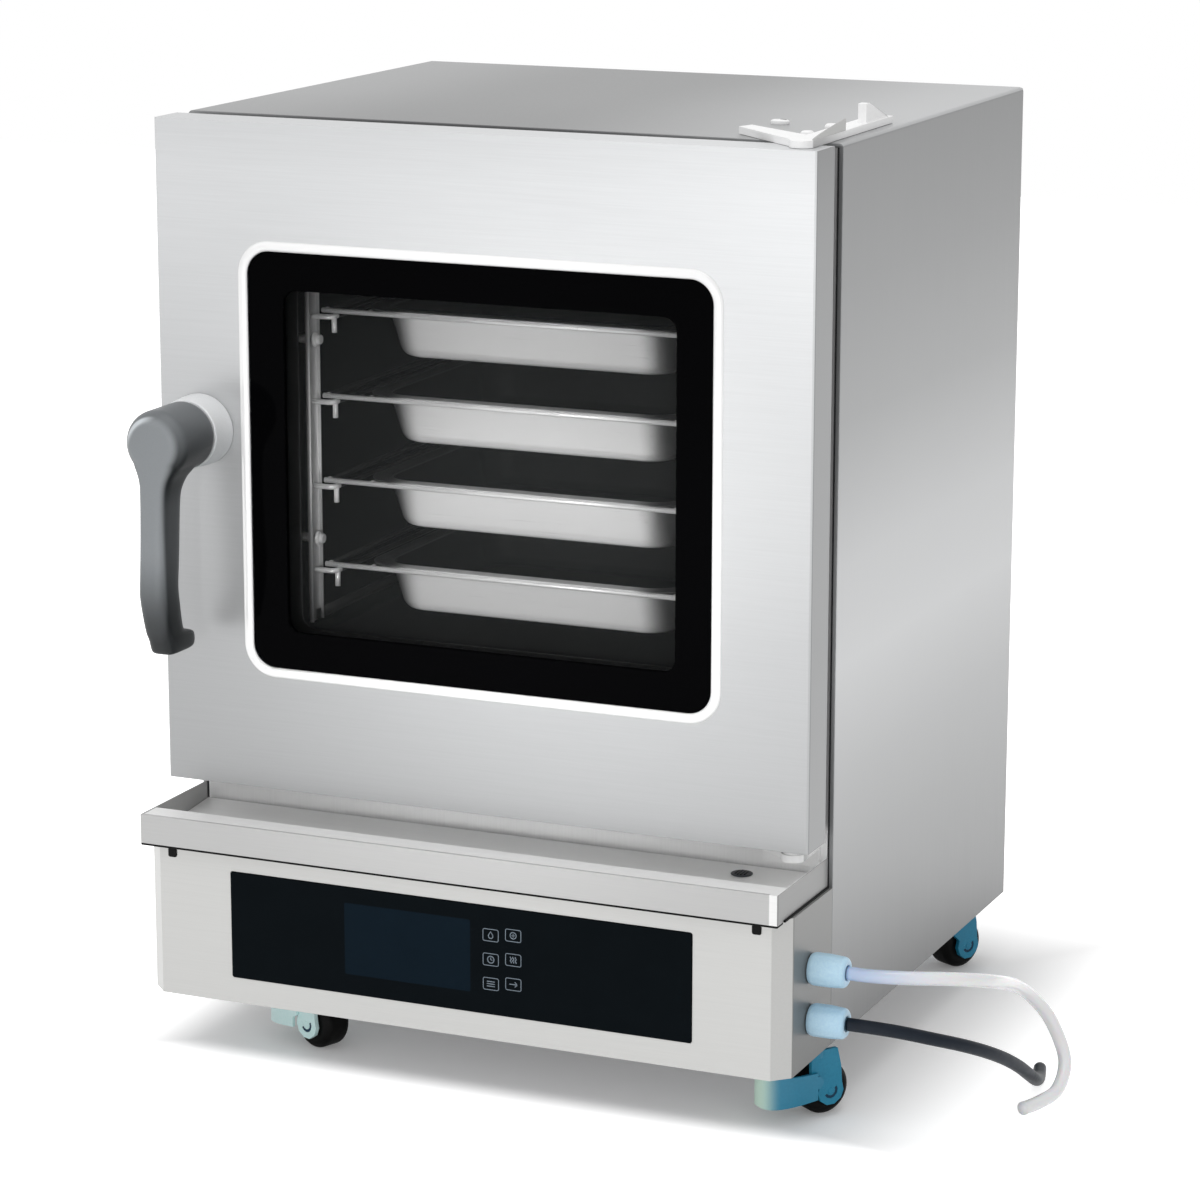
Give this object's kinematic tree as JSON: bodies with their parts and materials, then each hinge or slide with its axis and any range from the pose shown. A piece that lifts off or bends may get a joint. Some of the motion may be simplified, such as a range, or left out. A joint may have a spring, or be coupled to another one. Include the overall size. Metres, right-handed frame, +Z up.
{
  "type": "countertop steaming cabinet",
  "caption": "Countertop steaming cabinet with pans on wire shelves behind a hinged glass door, a lever handle, a drip tray, a touch panel housing and casters.",
  "frame": {"origin": "on the floor under the middle of the footprint of everything but the glands and cords", "axes": "+Z up, -Y out of the front of the cabinet, +X to the right when one faces the door"},
  "size_m": [0.8206, 0.6898, 0.9078],
  "materials": {
    "shell_steel": "fine brushed",
    "housing_steel": "fine brushed",
    "plain_steel": "mill",
    "liner_steel": "satin",
    "pan_steel": "satin",
    "bright_wire": "bright",
    "trim_white": "polished",
    "hinge_white": "satin",
    "tinted_glass": "polished",
    "clear_glass": "polished",
    "panel_glass": "gloss",
    "screen_dark": "gloss",
    "board_green": "matte",
    "handle_plastic": "satin",
    "collar_plastic": "satin",
    "seal_rubber": "matte",
    "black_plastic": "matte",
    "teal_plastic": "satin",
    "wheel_rubber": "matte",
    "gland_plastic": "satin",
    "hose_plastic": "gloss",
    "cable_rubber": "matte",
    "motor_paint": "satin",
    "heater_steel": "heat darkened",
    "valve_brass": "satin"
  },
  "bodies": {
    "cabinet": {"outer_shell": "shell_steel", "rear_panel": "plain_steel", "base_chassis": "plain_steel", "front_frame": "shell_steel", "cavity_liner": "liner_steel", "door_seal": "seal_rubber", "fan_baffle": "liner_steel", "fan_motor": "motor_paint", "heating_element": "heater_steel", "left_rack": "bright_wire", "right_rack": "bright_wire", "boiler_tank": "plain_steel", "drain_pipe": "plain_steel", "inlet_valve": "valve_brass", "latch_keeper": "plain_steel", "top_hinge_bracket": "hinge_white", "bottom_hinge_bracket": "hinge_white", "drip_tray": "shell_steel", "control_housing": "housing_steel", "control_glass": "panel_glass", "display_module": "screen_dark", "control_board": "board_green", "housing_plug_left": "black_plastic", "housing_plug_right": "black_plastic", "caster_mount_front_left": "plain_steel", "caster_mount_front_right": "plain_steel", "caster_mount_rear_left": "plain_steel", "caster_mount_rear_right": "plain_steel", "water_gland": "gland_plastic", "cable_gland": "gland_plastic", "water_hose": "hose_plastic", "power_cable": "cable_rubber"},
    "door": {"door_skin": "shell_steel", "door_inner_panel": "liner_steel", "window_trim": "trim_white", "outer_glass": "tinted_glass", "inner_glass": "clear_glass", "handle_collar": "collar_plastic"},
    "handle": {"door_handle": "handle_plastic", "latch_arm": "plain_steel"},
    "fan": {"fan_wheel": "plain_steel"},
    "tier_1": {"shelf_1": "bright_wire", "pan_1": "pan_steel"},
    "tier_2": {"shelf_2": "bright_wire", "pan_2": "pan_steel"},
    "tier_3": {"shelf_3": "bright_wire", "pan_3": "pan_steel"},
    "tier_4": {"shelf_4": "bright_wire", "pan_4": "pan_steel"},
    "swivel_front_left": {"caster_fork_front_left": "teal_plastic"},
    "swivel_front_right": {"caster_fork_front_right": "teal_plastic"},
    "swivel_rear_left": {"caster_fork_rear_left": "teal_plastic"},
    "swivel_rear_right": {"caster_fork_rear_right": "teal_plastic"},
    "wheel_front_left": {"caster_wheel_front_left": "wheel_rubber"},
    "wheel_front_right": {"caster_wheel_front_right": "wheel_rubber"},
    "wheel_rear_left": {"caster_wheel_rear_left": "wheel_rubber"},
    "wheel_rear_right": {"caster_wheel_rear_right": "wheel_rubber"},
    "pedal_front_left": {"caster_pedal_front_left": "teal_plastic"},
    "pedal_front_right": {"caster_pedal_front_right": "teal_plastic"}
  },
  "joints": [
    {"name": "door_hinge", "type": "hinge", "parent": "cabinet", "child": "door", "pos_m": [0.29406, -0.22785, 0.575], "axis": [0, 0, 1], "range_deg": [0, 115]},
    {"name": "handle_turn", "type": "hinge", "parent": "door", "child": "handle", "pos_m": [-0.28094, -0.28, 0.601], "axis": [0, 1, 0], "range_deg": [0, 90]},
    {"name": "fan_spin", "type": "hinge", "parent": "cabinet", "child": "fan", "pos_m": [-0.00394, 0.18545, 0.576], "axis": [0, 1, 0], "continuous": true},
    {"name": "tier_1_slide", "type": "slide", "parent": "cabinet", "child": "tier_1", "axis": [0, -1, 0], "range_m": [0, 0.04]},
    {"name": "tier_2_slide", "type": "slide", "parent": "cabinet", "child": "tier_2", "axis": [0, -1, 0], "range_m": [0, 0.04]},
    {"name": "tier_3_slide", "type": "slide", "parent": "cabinet", "child": "tier_3", "axis": [0, -1, 0], "range_m": [0, 0.04]},
    {"name": "tier_4_slide", "type": "slide", "parent": "cabinet", "child": "tier_4", "axis": [0, -1, 0], "range_m": [0, 0.04]},
    {"name": "front_left_swivel", "type": "hinge", "parent": "cabinet", "child": "swivel_front_left", "pos_m": [-0.21394, -0.18505, 0.06], "axis": [0, 0, 1], "continuous": true},
    {"name": "front_right_swivel", "type": "hinge", "parent": "cabinet", "child": "swivel_front_right", "pos_m": [0.28706, -0.18505, 0.06], "axis": [0, 0, 1], "continuous": true},
    {"name": "rear_left_swivel", "type": "hinge", "parent": "cabinet", "child": "swivel_rear_left", "pos_m": [-0.23594, 0.26295, 0.06], "axis": [0, 0, 1], "continuous": true},
    {"name": "rear_right_swivel", "type": "hinge", "parent": "cabinet", "child": "swivel_rear_right", "pos_m": [0.26806, 0.26295, 0.06], "axis": [0, 0, 1], "continuous": true},
    {"name": "front_left_roll", "type": "hinge", "parent": "swivel_front_left", "child": "wheel_front_left", "pos_m": [-0.19539, -0.19254, 0.025], "axis": [0.3746, 0.9272, 0], "continuous": true},
    {"name": "front_right_roll", "type": "hinge", "parent": "swivel_front_right", "child": "wheel_front_right", "pos_m": [0.29882, -0.16887, 0.025], "axis": [-0.809, 0.5878, 0], "continuous": true},
    {"name": "rear_left_roll", "type": "hinge", "parent": "swivel_rear_left", "child": "wheel_rear_left", "pos_m": [-0.24532, 0.28061, 0.025], "axis": [-0.8829, -0.4695, 0], "continuous": true},
    {"name": "rear_right_roll", "type": "hinge", "parent": "swivel_rear_right", "child": "wheel_rear_right", "pos_m": [0.27745, 0.28061, 0.025], "axis": [-0.8829, 0.4695, 0], "continuous": true},
    {"name": "front_left_brake", "type": "hinge", "parent": "swivel_front_left", "child": "pedal_front_left", "pos_m": [-0.21023, -0.18655, 0.036], "axis": [-0.3746, -0.9272, 0], "range_deg": [0, 12]},
    {"name": "front_right_brake", "type": "hinge", "parent": "swivel_front_right", "child": "pedal_front_right", "pos_m": [0.28942, -0.18181, 0.036], "axis": [0.809, -0.5878, 0], "range_deg": [0, 12]}
  ]
}
